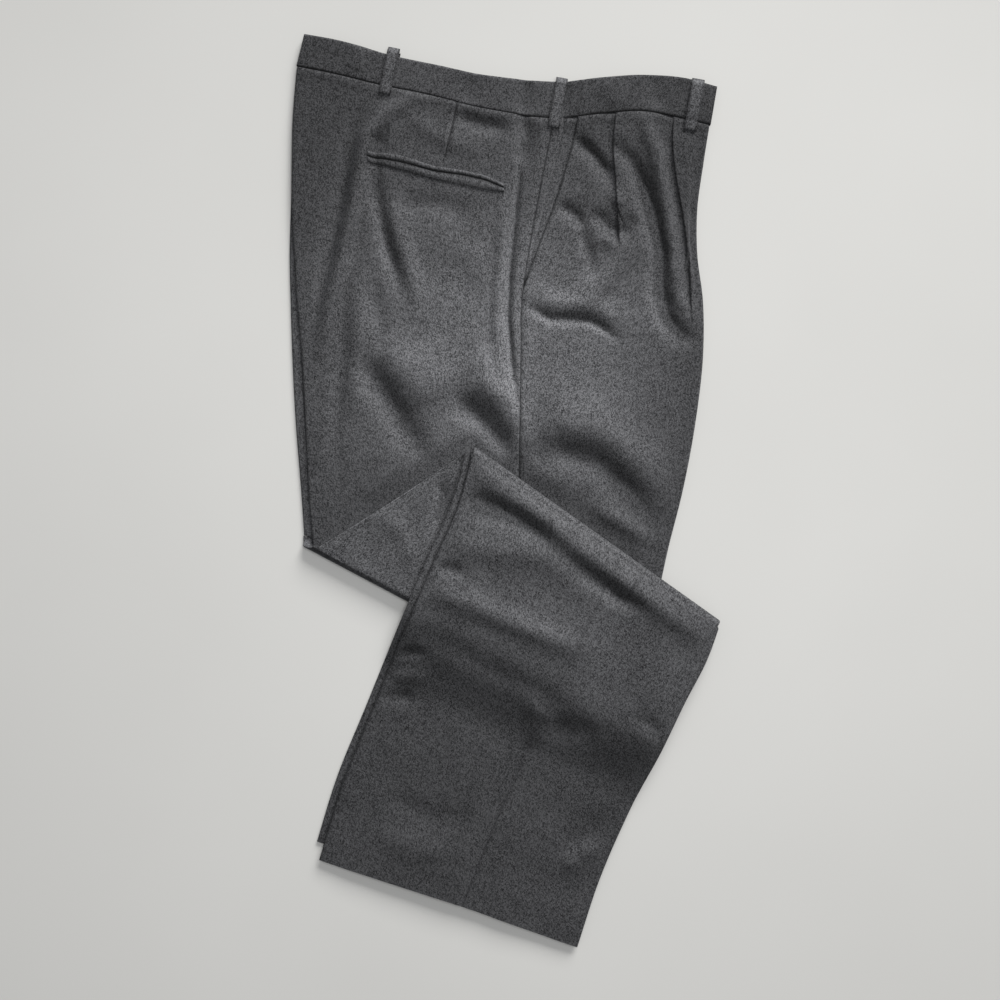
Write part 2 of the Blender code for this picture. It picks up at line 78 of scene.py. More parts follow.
# Hips and thighs by level: y, left leg's back, right leg's back, side seam, pocket mouth, front.
LEVELS = np.array([
    (430.0, -206.0, -206.0, 55.0, 76.0, 213.0),
    (370.0, -211.5, -211.0, 48.5, 73.0, 205.0),
    (325.0, -212.0, -212.0, 40.0, 62.5, 198.0),
    (280.0, -213.5, -212.0, 31.5, 48.5, 192.0),
    (235.0, -214.5, -209.5, 23.5, 31.5, 192.0),
    (190.0, -213.5, -207.0, 17.0, 17.0, 197.5),
    (140.0, -212.0, -202.5, 16.0, 16.0, 198.0),
    (70.0, -208.5, -198.5, 15.0, 15.0, 190.5),
    (0.0, -203.0, -195.0, 14.0, 14.0, 177.5),
    (-60.0, -199.0, -190.5, 13.5, 13.5, 162.5),
    (-110.0, -196.0, -188.0, 13.0, 13.0, 152.0),
    (-232.0, -190.0, -182.0, 12.5, 12.5, 132.5),
])
LEFT_BACK, RIGHT_BACK, SEAM, MOUTH, FRONT = range(1, 6)

# How far the thigh panels run on beneath the folds that cover them: x, y.
COVERED = np.array([(-205.0, -54.0), (-190.0, -58.0), (-150.0, -53.0), (-100.0, -20.0),
                    (-32.0, 24.0), (20.0, -14.0), (100.0, -72.0), (170.0, -119.0)])

# Lower legs from fold 2 to the hem: back crease x y, side seam x y, front crease x y.
LOWER = np.array([
    (-30.0, 43.5, 115.5, -59.5, 214.3, -129.5),
    (-46.0, -16.5, 93.5, -107.5, 199.5, -169.5),
    (-71.5, -74.5, 71.5, -154.5, 178.5, -209.5),
    (-103.5, -149.5, 45.0, -209.0, 155.0, -258.0),
    (-132.0, -219.5, 13.5, -278.0, 123.0, -322.0),
    (-160.5, -289.5, -16.0, -345.0, 95.0, -386.5),
    (-184.5, -367.5, -42.5, -412.5, 72.5, -454.5),
])
LEFT_LEG_OUT = 7.5
LEFT_HEM_SHORT = 13.0
LOWER_LENGTH = 410.0
HEM_DEPTH = 40.0


def unit(a, b):
    step = np.asarray(b, float) - np.asarray(a, float)
    return step / np.linalg.norm(step)


def ease(value):
    t = np.clip(value, 0.0, 1.0)
    return t * t * (3.0 - 2.0 * t)


def mix(a, b, t):
    return a + (b - a) * t


def smooth_read(places, readings, at):
    """A smooth curve through a table, read at any places; straight on beyond its ends."""
    order = np.argsort(places)
    xs, ys = np.asarray(places, float)[order], np.asarray(readings, float)[order]
    slopes = np.gradient(ys, xs)
    at = np.asarray(at, float)
    k = np.clip(np.searchsorted(xs, at) - 1, 0, len(xs) - 2)
    width = xs[k + 1] - xs[k]
    t = np.clip((at - xs[k]) / width, 0.0, 1.0)
    inner = ((2 * t**3 - 3 * t**2 + 1) * ys[k] + (t**3 - 2 * t**2 + t) * width * slopes[k]
             + (3 * t**2 - 2 * t**3) * ys[k + 1] + (t**3 - t**2) * width * slopes[k + 1])
    before = np.minimum(at - xs[0], 0.0) * slopes[0]
    after = np.maximum(at - xs[-1], 0.0) * slopes[-1]
    return inner + before + after


def level(y, column):
    return smooth_read(LEVELS[:, 0], LEVELS[:, column], y)


def along_waist(column, share):
    """A column of the waist table read by the share of the way from back to front."""
    return smooth_read(np.linspace(0.0, 1.0, len(WAIST)), WAIST[:, column], share)


WAIST_SHARES = np.linspace(-0.04, 1.04, 500)
SEAM_CURVE = (along_waist(SEAM_X, WAIST_SHARES), along_waist(SEAM_Y, WAIST_SHARES))


def waist_seam(x):
    return np.interp(x, SEAM_CURVE[0], SEAM_CURVE[1])


def covered_end(x):
    return np.interp(x, COVERED[:, 0], COVERED[:, 1])


def fold_1_start(x):
    slope = (FOLD_1[1, 1] - FOLD_1[0, 1]) / (FOLD_1[1, 0] - FOLD_1[0, 0])
    clear = (ROLL + FOLD_LIP + SEAM_GAP) * np.hypot(1.0, slope)
    return FOLD_1[0, 1] + slope * (x - FOLD_1[0, 0]) + clear


def inside(line, x, y):
    """Distance from a line, positive on its left-hand side."""
    (ax, ay), (bx, by) = line
    return ((y - ay) * (bx - ax) - (x - ax) * (by - ay)) / np.hypot(bx - ax, by - ay)


def over_edge(distance):
    return ease(1.0 + (distance + EDGE_CLEAR) / DRAPE)


def knee_base(x, y):
    return STACK * over_edge(inside(THIGH_FRONT, x, y))


def lower_base(x, y):
    on_thigh = over_edge(inside(THIGH_FRONT, x, y))
    on_knee = over_edge(inside(KNEE_FRONT, x, y))
    return STACK * over_edge(inside(FOLD_1, x, y)) * (on_thigh + on_knee)


def level_ground(x, y):
    return 0.0 * x


# ---- Creases, each a soft trough (height below 0) or ridge along a few points ----
# width is the distance at which it has fallen to a third.
THIGH_CREASES = [
    # height, width, points
    (3.4, 8.0, [(-87, 393), (-115, 376), (-134, 354), (-142, 327), (-150, 280), (-161, 231),
                (-173, 188), (-182, 145)]),
    (-3.0, 8.0, [(-142, 375), (-153, 340), (-159, 305), (-168, 262), (-179, 215), (-186, 180)]),
    (-1.6, 6.0, [(-119, 358), (-126, 340), (-129, 322)]),
    (-2.8, 7.5, [(-127, 321), (-122, 280), (-114, 243), (-101, 204)]),
    (1.6, 10.0, [(-112, 300), (-106, 268), (-95, 231), (-84, 190)]),
    (-1.3, 11.0, [(-104, 288), (-66, 289), (-32, 279)]),
    (-1.1, 8.0, [(-127, 205), (-121, 165), (-123, 130)]),
    (-1.4, 8.0, [(-154, 205), (-160, 150), (-164, 90), (-168, 30)]),
    (1.0, 8.0, [(-141, 220), (-144, 150), (-148, 80)]),
    (-3.0, 13.0, [(-140, 140), (-118, 102), (-98, 70), (-78, 38)]),
    (2.0, 18.0, [(-118, 160), (-94, 124), (-72, 92)]),
    (2.2, 24.0, [(-90, 150), (-60, 120), (-44, 110)]),
    (-3.2, 12.0, [(-44, 96), (-16, 71), (10, 38)]),
    (2.0, 16.0, [(-30, 124), (0, 98), (18, 66)]),
    (2.2, 16.0, [(-22, 150), (-6, 110), (12, 90)]),
    (-2.4, 3.4, [(18, 345), (15, 311), (10, 262), (6, 219), (4, 175), (8, 125), (13, 84)]),
    (1.2, 5.0, [(1, 300), (-4, 230), (-7, 170), (-2, 110)]),
    (-2.4, 8.0, [(20, 384), (24, 352), (21, 325)]),
    (-1.7, 4.6, [(26, 183), (46, 172), (64, 172), (89, 169), (112, 153)]),
    (1.5, 9.0, [(30, 200), (58, 188), (90, 186), (120, 172)]),
    (-3.2, 7.0, [(72, 352), (90, 336), (107, 313)]),
    (-2.2, 7.0, [(56, 286), (72, 276), (80, 264)]),
    (-1.6, 6.0, [(78, 262), (84, 240), (90, 222)]),
    (-2.0, 8.0, [(88, 281), (101, 270), (110, 258)]),
    (-1.8, 8.0, [(110, 258), (122, 262), (134, 276)]),
    (-1.8, 8.0, [(106, 250), (98, 236), (83, 213)]),
    (1.3, 6.0, [(112, 300), (112, 284)]),
    (2.2, 10.0, [(136, 253), (114, 225), (89, 200), (70, 188)]),
    (-4.6, 8.0, [(114, 344), (127, 332), (138, 305), (148, 274), (156, 237), (154, 206),
                 (160, 176), (175, 158), (190, 155)]),
    (2.4, 7.0, [(138, 372), (150, 342), (161, 290), (168, 240), (171, 200), (182, 178)]),
    (1.8, 24.0, [(40, 112), (76, 98), (112, 84)]),
    (-2.4, 14.0, [(28, 34), (58, 44), (95, 34), (126, 5), (150, -28)]),
    (2.8, 20.0, [(34, 70), (62, 76), (104, 66), (140, 34), (160, 4)]),
    (1.6, 10.0, [(92, -12), (120, -28), (146, -42)]),
    (-1.7, 8.0, [(-48, 374), (-20, 366), (6, 360)]),
    (0.9, 9.0, [(-90, 372), (-60, 352), (-20, 340)]),
    (0.8, 12.0, [(-60, 250), (-30, 240), (-10, 200)]),
]
BAND_CREASES = [
    (-1.3, 7.0, [(24, 412), (20, 392), (19, 376)]),
    (-1.3, 6.0, [(63, 410), (61, 392), (58, 372)]),
    (0.9, 9.0, [(-140, 446), (-146, 420)]),
    (-0.8, 10.0, [(-30, 416), (-36, 388)]),
    (0.8, 12.0, [(108, 414), (112, 384)]),
    (-0.8, 9.0, [(150, 416), (153, 384)]),
]
KNEE_CREASES = [
    (-1.6, 6.0, [(-62, 12), (-60, -10), (-70, -36)]),
    (0.9, 10.0, [(-120, -20), (-96, -40), (-90, -70)]),
]
LOWER_CREASES = [
    (2.6, 11.0, [(-26, 24), (2, 3), (40, -25), (90, -62), (150, -106), (196, -138)]),
    (-3.2, 11.0, [(-50, -2), (-16, -13), (15, -23), (54, -45)]),
    (-1.6, 9.0, [(70, -66), (108, -98), (140, -112)]),
    (1.2, 12.0, [(-60, -40), (-16, -53), (40, -60), (72, -90)]),
    (-1.6, 6.0, [(-74, -70), (-54, -74), (-38, -78)]),
    (2.4, 12.0, [(-76, -90), (-41, -102), (-3, -118), (40, -136), (80, -152)]),
    (-1.2, 12.0, [(-84, -132), (-46, -148), (-3, -171), (40, -193), (72, -212)]),
    (-2.0, 5.0, [(-118, -161), (-100, -158), (-78, -158)]),
    (-2.0, 6.0, [(-126, -201), (-108, -203), (-88, -204)]),
    (1.0, 7.0, [(-116, -180), (-96, -181), (-76, -180)]),
    (-1.2, 7.0, [(101, -86), (110, -98), (116, -110)]),
    (-1.4, 12.0, [(46, -226), (68, -229), (92, -234)]),
    (-1.2, 7.0, [(134, -218), (150, -232), (164, -248)]),
    (1.2, 10.0, [(26, -200), (38, -218), (30, -250)]),
    (-1.3, 10.0, [(96, -318), (82, -336), (62, -352)]),
    (1.2, 10.0, [(60, -372), (76, -362), (92, -346)]),
    (-0.9, 12.0, [(-110, -300), (-70, -320), (-30, -316)]),
    (0.9, 12.0, [(-120, -330), (-90, -352), (-50, -350)]),
    (0.9, 8.0, [(-9, -250), (-30, -320), (-50, -385)]),
]


def along_polyline(points, x, y):
    """Distance to a line of points, and the share of its length where the foot falls."""
    points = np.asarray(points, float)
    steps = np.linalg.norm(np.diff(points, axis=0), axis=1)
    starts = np.concatenate([[0.0], np.cumsum(steps)])
    best = np.full(np.shape(x), 1e9)
    share = np.zeros(np.shape(x))
    for k, length in enumerate(steps):
        ahead = (points[k + 1] - points[k]) / length
        s = np.clip((x - points[k, 0]) * ahead[0] + (y - points[k, 1]) * ahead[1], 0.0, length)
        d = np.hypot(x - points[k, 0] - ahead[0] * s, y - points[k, 1] - ahead[1] * s)
        nearer = d < best
        best = np.where(nearer, d, best)
        share = np.where(nearer, (starts[k] + s) / starts[-1], share)
    return best, share


# Each crease is drawn along its shaded side, so its middle lies this far across, in widths.
FROM_DRAWN = np.array((-0.25, -0.55))
CREASE = 1.45                # how strongly the drawn creases are worked into the cloth


def relief(creases, x, y):
    total = np.zeros(np.shape(x))
    for height, width, points in creases:
        middle = np.asarray(points, float) + width * FROM_DRAWN
        distance, share = along_polyline(middle, x, y)
        fade = np.clip(4.0 * share * (1.0 - share) + 0.25, 0.0, 1.0)
        total += CREASE * height * fade * np.exp(-(distance / width) ** 2)
    return total


def kept_above(height, least, soft=0.5):
    """The height, eased off so that it never falls below the least."""
    return least + soft * np.logaddexp(0.0, (height - least) / soft)


def ripple(x, y, size, seed):
    """Slow uneven waviness of pressed cloth, as a few crossing waves, about 1 high."""
    chance = np.random.default_rng(seed)
    total = np.zeros(np.shape(x))
    for _ in range(7):
        angle = chance.uniform(0.0, 2.0 * pi)
        wave = size * chance.uniform(0.6, 1.7)
        phase = chance.uniform(0.0, 2.0 * pi)
        turn = np.cos(angle) * x + np.sin(angle) * y
        bend = 0.6 * np.sin((np.sin(angle) * x - np.cos(angle) * y) / (wave * 0.7) + phase * 2.3)
        total += np.sin(2.0 * pi * turn / wave + phase + bend)
    return total / 4.0


def seam_groove(distance, depth=0.85, width=0.9, shoulder=0.35, reach=7.0):
    """A pressed-open seam: a sharp valley between two low rounded shoulders."""
    d = np.abs(distance)
    return -depth * np.exp(-(d / width) ** 2) + shoulder * np.exp(-((d - reach) / 4.0) ** 2)


def waist_dip(distance):
    """The panels dive into the waist seam and stand a little proud just below it."""
    d = np.maximum(distance, 0.0)
    return 0.4 * np.exp(-((d - 6.0) / 4.0) ** 2) - 0.9 * np.exp(-(d / 1.3) ** 2)


DART = [(-47.5, 384.0), (-52.5, 357.0), (-61.0, 324.0)]


def dart_groove(x, y):
    distance, share = along_polyline(DART, x, y)
    fade = ease((1.05 - share) / 0.4)
    puff = 0.35 * np.exp(-((distance - 4.0) / 3.0) ** 2)
    return (puff - 1.3 * np.exp(-(distance / 1.1) ** 2)) * fade


def thigh_z(x, y):
    """Middle of the right leg's outer cloth on the hips and thighs."""
    back = level(y, RIGHT_BACK)
    across = np.clip((x - back) / (level(y, FRONT) - back), 0.0, 1.0)
    edge_fade = np.sin(pi * across) ** 0.7
    hips = HIP_RISE * edge_fade * ease((y - 60.0) / 120.0)
    low = 4.2 * edge_fade * ease((y + 70.0) / 110.0)
    soft = ease(np.minimum(across, 1.0 - across) / 0.05)
    beyond_fold = np.maximum(inside(KNEE_BACK, x, y), inside(FOLD_2, x, y))
    clear = ease((beyond_fold + 4.0) / 26.0)
    worked = relief(THIGH_CREASES, x, y) + 0.45 * ripple(x, y, 85.0, 3) + 0.12 * ripple(x, y, 24.0, 5)
    seam_distance = x - level(y, SEAM)
    groove = seam_groove(seam_distance) * ease((y + 70.0) / 40.0)
    groove = groove + waist_dip(waist_seam(x) - y) + dart_groove(x, y)
    return OUTER_Z + kept_above(hips + low + worked * soft, -0.7) * clear + groove


def band_z(x, y):
    pleated = ease((x - 60.0) / 40.0) * ease((210.0 - x) / 30.0)
    waves = relief(BAND_CREASES, x, y)
    back = level(y, RIGHT_BACK)
    across = np.clip((x - back) / (level(y, FRONT) - back), 0.0, 1.0)
    rise = (HIP_RISE + 3.0) * np.sin(pi * across) ** 0.7
    return 5.2 + rise + 0.9 * pleated + waves + 0.35 * ripple(x, y, 70.0, 9)


# ---- Cloth ----
def grid_of(rows):
    """Rows of points, all equally long, as one array in millimetres."""
    return np.array([np.asarray(row, float) for row in rows])


def lengths_along(grid, axis):
    steps = np.linalg.norm(np.diff(grid, axis=axis), axis=2)
    start = np.zeros_like(np.take(steps, [0], axis=axis))
    return np.concatenate([start, np.cumsum(steps, axis=axis)], axis=axis)


def line_shade(distance, width):
    return np.exp(-(distance / width) ** 2)


def thigh_painted_shade(x, y):
    """Painted shade on the hips and thighs: lightest on the thigh, darker at the waist and near the
    edges, with dark lines of painted shade along the seams, the dart, the pocket slit and the pocket
    mouths."""
    thigh = np.exp(-((x + 5.0) / 150.0) ** 2 - ((y - 140.0) / 125.0) ** 2)
    painted_shade = 0.43 + 0.53 * thigh - 0.08 * ease((x - 140.0) / 50.0)
    painted_shade = painted_shade * (1.0 - 0.15 * ease((x - 40.0) / 50.0) * ease((y - 190.0) / 60.0))
    painted_shade = painted_shade * (1.0 - 0.14 * ease((-110.0 - x) / 60.0) * ease((y - 240.0) / 80.0))
    dart, share = along_polyline(DART, x, y)
    slit = np.interp(x, POCKET[:, 0], POCKET[:, 2])
    in_pocket = (x > POCKET[0, 0]) & (x < POCKET[-1, 0])
    pressed = 0.62 * line_shade(waist_seam(x) - y, 1.5)
    pressed = np.maximum(pressed, 0.5 * line_shade(x - level(y, SEAM), 1.1))
    pressed = np.maximum(pressed, 0.6 * line_shade(dart, 1.0) * (share < 0.99))
    pressed = np.maximum(pressed, 0.75 * line_shade(y - slit, 1.7) * in_pocket)
    pressed = np.maximum(pressed, 0.5 * line_shade(x - level(y, MOUTH), 1.3) * (y > 200.0))
    return painted_shade * (1.0 - pressed)


def knee_painted_shade(x, y):
    # Painted shade on the knee: an even tone, with dark lines painted beside the left leg's edge and
    # along the knee's back crease, where shade falls next to the edges.
    beside, _ = along_polyline(LOWER[:, 0:2], x, y)
    pressed = 0.5 * line_shade(beside - LEFT_LEG_OUT - 0.8, 1.6)
    pressed = pressed + 0.4 * line_shade(inside(KNEE_BACK, x, y), 2.2)
    return 0.64 * (1.0 - np.minimum(pressed, 0.7))


def lower_painted_shade(x, y):
    # Painted shade on the lower legs: lighter where they lie raised over the stack and in a band beyond
    # fold 1 towards the hem, darker towards +X, and a dark line of painted shade along the back crease.
    raised = ease((inside(FOLD_1, x, y) + 16.0) / 40.0)
    crease, _ = along_polyline(LOWER[:, 0:2], x, y)
    pressed = 0.6 * line_shade(crease, 1.3)
    drop = 0.11 * line_shade(inside(FOLD_1, x, y) + 46.0, 24.0)
    return (0.37 + 0.17 * raised + drop) * (1.0 - 0.14 * ease((x - 80.0) / 70.0)) * (1.0 - pressed)


TO_WINDOW = (0.42, 0.91)     # plan direction of the window light
LEAN_SHADE = 1.8             # how strongly the slope of the cloth sets the painted shade
FULL_LEAN = 0.6              # past this lean, as on a turned edge, the painted shade adds no light
# darkest and lightest factors of the painted shade
DARKEST, LIGHTEST = 0.38, 1.4


def leaning(grid):
    """Painted shade that deepens the creases: the nap is made lighter where the cloth leans
    towards the window and darker where it leans away. It stays put if the lights move."""
    normal = np.cross(np.gradient(grid, axis=1), np.gradient(grid, axis=0))
    length = np.maximum(np.linalg.norm(normal, axis=2, keepdims=True), 1e-9)
    normal = normal / length * np.where(normal[..., 2:] < 0.0, -1.0, 1.0)
    lean = normal[..., 0] * TO_WINDOW[0] + normal[..., 1] * TO_WINDOW[1]
    lean = np.where(lean > 0.0, lean * np.exp(-(lean / FULL_LEAN) ** 2), lean)
    return np.clip(1.0 + LEAN_SHADE * lean, DARKEST, LIGHTEST)


def cloth(name, rows, stands_for, material, thickness=CLOTH,
          nap_and_painted_shade=thigh_painted_shade, grain=None):
    """A wall of cloth through the rows of points, with its own UV map in metres of cloth. Its
    threads run along the rows, or where the rows fan out, along the grain's direction."""
    grid = grid_of(rows)
    high, wide = grid.shape[:2]
    if grain is None:
        u = lengths_along(grid, 1) * MM
        v = lengths_along(grid, 0) * MM
    else:
        u = (grid[..., 0] * grain[1] - grid[..., 1] * grain[0]) * MM
        v = (grid[..., 0] * grain[0] + grid[..., 1] * grain[1] + grid[..., 2]) * MM
    points = (grid.reshape(-1, 3) * MM).tolist()
    faces = []
    for i in range(high - 1):
        for k in range(wide - 1):
            a = i * wide + k
            faces.append((a, a + wide, a + wide + 1, a + 1))
    mesh = bpy.data.meshes.new(name)
    mesh.from_pydata(points, [], faces)
    uv = mesh.uv_layers.new(name="cloth")
    corners = np.empty(len(mesh.loops), dtype=np.int32)
    mesh.loops.foreach_get("vertex_index", corners)
    uv.data.foreach_set("uv", np.column_stack([u.ravel()[corners], v.ravel()[corners]]).ravel())
    # Painted shade: the attribute holds the piece's painted tone times the painted crease shade from
    # leaning().
    painted_shade = mesh.attributes.new("nap_and_painted_shade", "FLOAT", "POINT")
    painted_shade.data.foreach_set("value", (nap_and_painted_shade(grid[..., 0], grid[..., 1]) * leaning(grid)).ravel())
    mesh.materials.append(material)
    piece = bpy.data.objects.new(name, mesh)
    bpy.context.scene.collection.objects.link(piece)
    shell = piece.modifiers.new("Cloth", "SOLIDIFY")
    shell.thickness = thickness * MM
    shell.offset = 0.0
    shell.use_even_offset = False
    bpy.ops.object.select_all(action="DESELECT")
    bpy.context.view_layer.objects.active = piece
    piece.select_set(True)
    bpy.ops.object.modifier_apply(modifier="Cloth")
    bpy.ops.object.shade_smooth_by_angle(angle=radians(60.0))
    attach(piece, "root")
    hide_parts(stands_for)
    return piece


DOWN = np.array((0.0, 0.0, -1.0))
UP = np.array((0.0, 0.0, 1.0))
X_IN = np.array((1.0, 0.0, 0.0))


def turned_edge(edge, along, inward, ground=level_ground, tuck=TUCK, bends=9, radius=0.5 * LAYER):
    """A pressed crease seen end on, from the tucked inner layer round to the outer one."""
    edge = np.asarray(edge, float)
    along = np.asarray(along, float)
    inward = np.asarray(inward, float)
    centre = 0.5 * CLOTH + radius
    steps = [(s, 2.0 * radius) for s in np.linspace(tuck, centre + 0.8, 4)]
    for angle in np.linspace(0.5 * pi, -0.5 * pi, bends):
        steps.append((centre - radius * np.cos(angle), radius + radius * np.sin(angle)))
    start = ground(edge[0], edge[1])
    points = []
    for s, d in steps:
        point = edge + along * s + inward * d
        point[2] += ground(point[0], point[1]) - start
        points.append(point)
    return points


def panel_xy(u, t, left, right, end_y, from_left=0.0, from_right=0.0):
    u = np.asarray(u, float)
    x = mix(level(370.0, left), level(370.0, right), u)
    y = 0.0 * x
    for _ in range(10):
        y = mix(waist_seam(x) - SEAM_GAP, end_y(x), t)
        x = mix(level(y, left) + from_left, level(y, right) - from_right, u)
    return x, y


# shares down a panel from the waist seam, close together where it dives into the seam
DOWN_PANEL = np.concatenate([[0.0, 0.002, 0.0045, 0.008, 0.0125], np.linspace(0.018, 1.0, 176)])


def eased_spread(count, first, last):
    """Places that crowd towards both ends, where the cloth turns or is seamed."""
    t = np.linspace(0.0, 1.0, count)
    return mix(first, last, mix(t, ease(t), 0.55))


def under_band(row):
    """The panel's top row carried on beneath the waistband, all its folds pressed flat."""
    flat = np.asarray(row, float).copy()
    top = flat[:, 2].max()
    under = []
    for reach, drop in ((4.0, 0.25), (0.0, 0.1)):
        x, y = flat[:, 0], flat[:, 1] + reach
        z = band_z(x, y) - 0.5 * BAND - 0.5 * CLOTH - drop - 0.3 * (top - flat[:, 2])
        under.append(np.column_stack([x, y, z]))
    return under


def right_back_upper(material):
    rows = []
    for t in DOWN_PANEL:
        u = np.union1d(eased_spread(92, 0.008, 1.0), np.linspace(0.566, 0.642, 24))
        x, y = panel_xy(u, t, RIGHT_BACK, SEAM, covered_end, from_right=0.5 * SEAM_GAP)
        y_edge = y[0]
        x_edge = level(y_edge, RIGHT_BACK)
        flat = np.column_stack([x, y, thigh_z(x, y)])
        edge = (x_edge, y_edge, thigh_z(x_edge, y_edge))
        rows.append(turned_edge(edge, X_IN, DOWN) + list(flat))
    rows = under_band(rows[0]) + rows[1:]
    cloth("right_back_panel", rows, "right_back_upper", material)


# Pleats: places of the fold edge (y, x), depth at the waist, the level where it has opened
# out, and how far its line runs on as a valley.
SIDE_PLEAT = ([(373.0, 110.5), (345.0, 108.0), (303.0, 110.5), (240.0, 112.0), (60.0, 108.0),
               (-120.0, 106.0)], 11.0, 285.0, 12.0)
MAIN_PLEAT = ([(372.0, 168.5), (350.5, 167.0), (310.5, 170.5), (286.5, 175.5), (254.5, 180.5),
               (190.0, 184.0), (140.0, 184.5), (70.0, 177.0), (0.0, 164.0), (-120.0, 136.0)],
              15.0, 246.0, 50.0)


SINK_RUN = 22.0              # cloth that goes down under a pleat's fold edge
SIDE_ROOM = 26.0             # cloth beyond the side pleat's edge that belongs to the pleat


def pleat_steps(depth, room):
    """Across a reversed pleat, from the pocket side: the cloth sinks under the fold edge, turns
    back towards it above itself, and comes round the edge to run on towards the fly."""
    r = 0.5 * LAYER
    d = 2.4 + depth
    sink = [(20.0 * s - SINK_RUN, -1.3 * LAYER * ease(s)) for s in np.linspace(0.0, 1.0, 9)]
    under = [(s, -1.3 * LAYER + 0.3 * LAYER * ease((s + 2.0) / 3.0))
             for s in np.linspace(-2.0, d - r, 9)[1:]]
    heel = [(d - r + r * np.sin(a), -r - r * np.cos(a)) for a in np.linspace(0.0, pi, 9)[1:]]
    back = [(s, 0.0) for s in np.linspace(d - r, r, 7)[1:]]
    tip = [(r - r * np.cos(a), r + r * np.sin(a)) for a in np.linspace(-0.5 * pi, 0.5 * pi, 9)[1:]]
    top = [(s, LAYER) for s in np.linspace(r, min(d + 1.0, room - 2.0), 9)[1:]]
    last = top[-1][0]
    out = [(mix(last, room, s), LAYER * (1.0 - ease(s))) for s in np.linspace(0.0, 1.0, 7)[1:]]
    return np.array(sink + under + heel + back + tip + top + out)


def pleat_section(pleat, t, y, room):
    line, most, end_y, run_on = pleat
    top = line[0][0]
    x = float(smooth_read([p for p, _ in line], [q for _, q in line], y))
    depth = most * float(np.clip((y - end_y) / (top - end_y), 0.0, 1.0))
    depth = min(depth, max(room - 9.0, 0.0))
    folded = pleat_steps(depth, room)
    count = len(folded)
    opened = np.column_stack([np.linspace(-SINK_RUN, room, count), np.zeros(count)])
    share = float(ease((y - end_y + 30.0) / 30.0))
    steps = mix(opened, folded, share)
    fading = float(ease((y - end_y + 30.0 + run_on) / run_on)) * (1.0 - share)
    valley = 1.3 * np.exp(-((steps[:, 0] - 2.5) / 2.5) ** 2)
    valley -= 2.0 * np.exp(-(np.minimum(steps[:, 0] + 0.6, 0.0) / 6.0) ** 2) * (steps[:, 0] < 1.2)
    own_x = x + steps[:, 0]
    own_y = mix(waist_seam(own_x) - SEAM_GAP, covered_end(own_x), t)
    pressed = mix(0.45, 1.0, float(ease(t / 0.06)))
    z = thigh_z(own_x, own_y) + steps[:, 1] * pressed + valley * fading
    return np.column_stack([own_x, own_y, kept_above(z, 4.5, 0.25)])


def right_front_upper(material):
    rows = []
    for t in DOWN_PANEL:
        def place(u):
            return panel_xy(u, t, MOUTH, FRONT, covered_end, from_left=0.5 * SEAM_GAP)
        side_y = float(place(0.35)[1])
        main_y = float(place(0.8)[1])
        edge_x, edge_y = place(1.0)
        main_line = MAIN_PLEAT[0]
        main_x = float(smooth_read([p for p, _ in main_line], [q for _, q in main_line], main_y))
        room = max(float(level(main_y, FRONT)) - main_x - 7.0, 3.6)
        side = pleat_section(SIDE_PLEAT, t, side_y, SIDE_ROOM)
        main = pleat_section(MAIN_PLEAT, t, main_y, room)
        mouth_x = float(place(0.0)[0])
        near_x = mix(mouth_x, side[0, 0], np.linspace(0.0, 1.0, 22)[:-1] ** 1.4)
        near_y = mix(waist_seam(near_x) - SEAM_GAP, covered_end(near_x), t)
        near = np.column_stack([near_x, near_y, thigh_z(near_x, near_y)])
        mid_x = mix(side[-1, 0], main[0, 0], np.linspace(0.0, 1.0, 12)[1:-1])
        mid_y = mix(waist_seam(mid_x) - SEAM_GAP, covered_end(mid_x), t)
        mid = np.column_stack([mid_x, mid_y, thigh_z(mid_x, mid_y)])
        edge = np.array((edge_x, edge_y, thigh_z(edge_x, edge_y)))
        last_x = mix(main[-1, 0], edge[0] - 1.6, np.linspace(0.0, 1.0, 7)[1:])
        last_y = mix(waist_seam(last_x) - SEAM_GAP, covered_end(last_x), t)
        last = np.column_stack([last_x, last_y, thigh_z(last_x, last_y)])
        turned = turned_edge(edge, -X_IN, DOWN)[::-1]
        rows.append(list(near) + list(side) + list(mid) + list(main) + list(last) + turned)
    rows = under_band(rows[0]) + rows[1:]
    cloth("right_front_panel", rows, "right_front_upper", material)


def pocket_facing(material):
    rows = []
    for y in np.linspace(374.0, 186.0, 84):
        hidden = float(ease((214.0 - y) / 12.0))
        seam = float(level(y, SEAM)) + 0.5 * SEAM_GAP - 5.0 * hidden
        mouth = float(level(y, MOUTH))
        dip = LAYER * float(ease((mouth - seam) / 8.0)) + 0.4
        xs = np.concatenate([np.linspace(seam, max(mouth - 1.0, seam + 1.0), 26),
                             np.linspace(max(mouth, seam + 2.0), mouth + 13.0, 6)])
        fall = np.clip((xs - seam) / max(mouth - 1.5 - seam, 2.0), 0.0, 1.0)
        z = thigh_z(xs, np.full(len(xs), y)) - dip * ease(fall) - 1.6 * hidden
        z = z - 0.9 * line_shade(xs - seam - 0.45 * (mouth - seam), 1.4)
        rows.append(np.column_stack([xs, np.full(len(xs), y), z]))
    cloth("right_pocket_facing", rows, "right_pocket_facing", material)


def waistbands(material):
    fine = np.linspace(0.0, 1.0, 180)
    plan = [along_waist(column, fine) for column in range(4)]
    for name, stands_for, height in (("right_waistband", "right_waistband", band_z),
                                     ("left_waistband", "left_waistband", None)):
        rows = []
        for t in np.concatenate([[0.0, 0.012, 0.03], np.linspace(0.06, 0.94, 16), [0.97, 0.985, 1.0]]):
            x = mix(plan[TOP_X], plan[SEAM_X], t)
            y = mix(plan[TOP_Y], plan[SEAM_Y], t)
            z = height(x, y) if height else np.full(len(x), 2.6)
            fall = 0.55 * np.exp(-((1.0 - t) / 0.02) ** 2) + 0.5 * np.exp(-(t / 0.02) ** 2)
            rows.append(np.column_stack([x, y, z - (fall if height else -fall)]))
        cloth(name, rows, stands_for, material, thickness=BAND)


